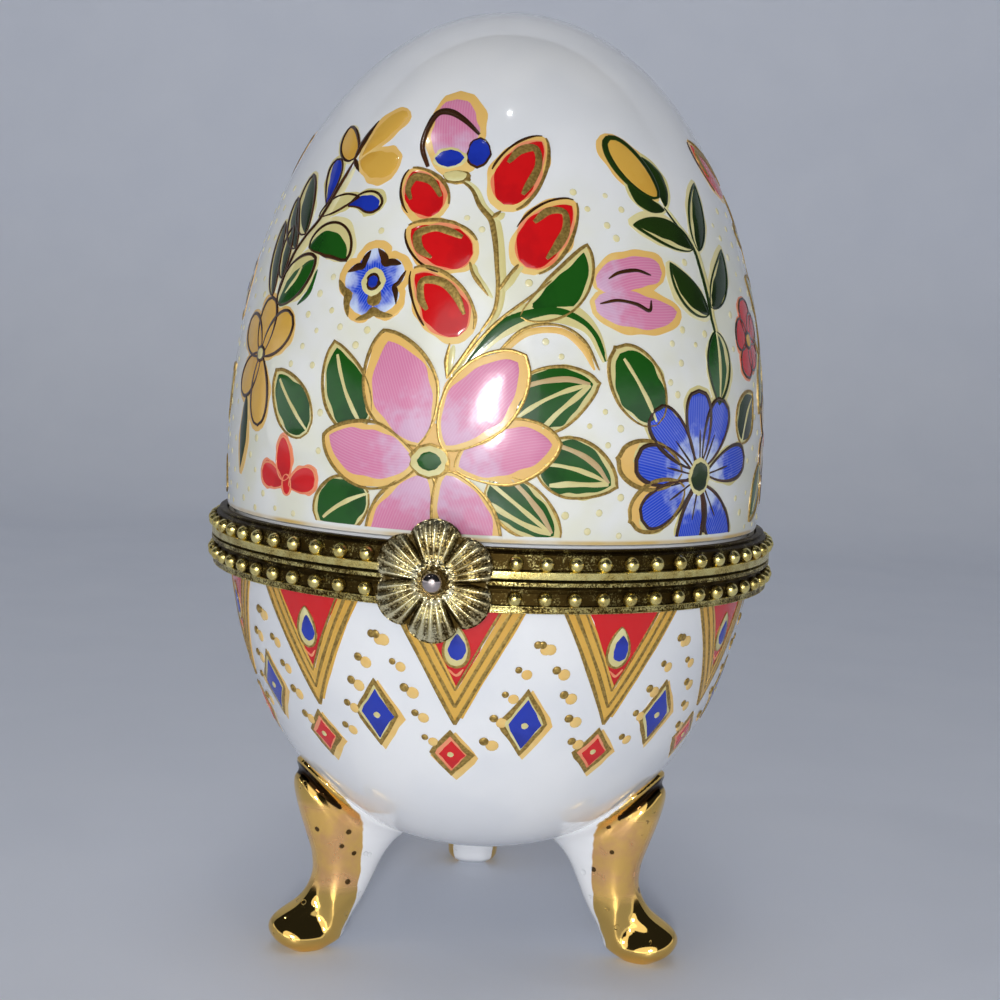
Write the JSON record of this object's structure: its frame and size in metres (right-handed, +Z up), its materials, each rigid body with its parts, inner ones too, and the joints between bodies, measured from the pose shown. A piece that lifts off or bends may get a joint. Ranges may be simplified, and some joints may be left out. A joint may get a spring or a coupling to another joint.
{
  "type": "trinket box",
  "caption": "Egg-shaped porcelain trinket box on splayed feet, with a hinged lid, beaded brass bands and a sprung flower clasp.",
  "frame": {"origin": "on the egg's axis, at the height of the soles, which is the middle of the bounding box's underside", "axes": "+Z up along the egg's axis, -Y towards the clasp, +Y towards the hinge, hinge axis along X"},
  "size_m": [0.077, 0.0846, 0.125],
  "materials": {
    "glazed_porcelain": "white porcelain under a clear gloss glaze, with printed and gilded enamel flowers",
    "lustred_porcelain": "glazed porcelain, its outward side covered with worn liquid gold lustre",
    "plaster_cement": "matt off-white plaster cement, hidden in the joint",
    "antique_brass": "cast brass with bright rubbed edges and dark tarnish in its hollows",
    "polished_steel": "nickelled steel, worn smooth"
  },
  "bodies": {
    "base": {"bowl": "glazed_porcelain", "foot_left": "lustred_porcelain", "foot_right": "lustred_porcelain", "foot_rear": "lustred_porcelain", "base_cement": "plaster_cement", "base_band": "antique_brass", "base_hinge_leaf": "antique_brass", "hinge_pin": "polished_steel", "catch": "antique_brass"},
    "lid": {"lid_shell": "glazed_porcelain", "lid_cement": "plaster_cement", "lid_band": "antique_brass", "lid_hinge_leaf": "antique_brass"},
    "clasp": {"clasp_tongue": "antique_brass", "clasp_flower": "antique_brass", "clasp_rivet": "polished_steel"}
  },
  "joints": [
    {"name": "lid_hinge", "type": "hinge", "parent": "base", "child": "lid", "pos_m": [0, 0.04029, 0.0549], "axis": [-1, 0, 0], "range_deg": [0, 65]},
    {"name": "clasp_flex", "type": "hinge", "parent": "lid", "child": "clasp", "pos_m": [0, -0.03899, 0.057], "axis": [-1, 0, 0], "range_deg": [0, 6], "stiffness_Nm_per_rad": 0.2}
  ]
}
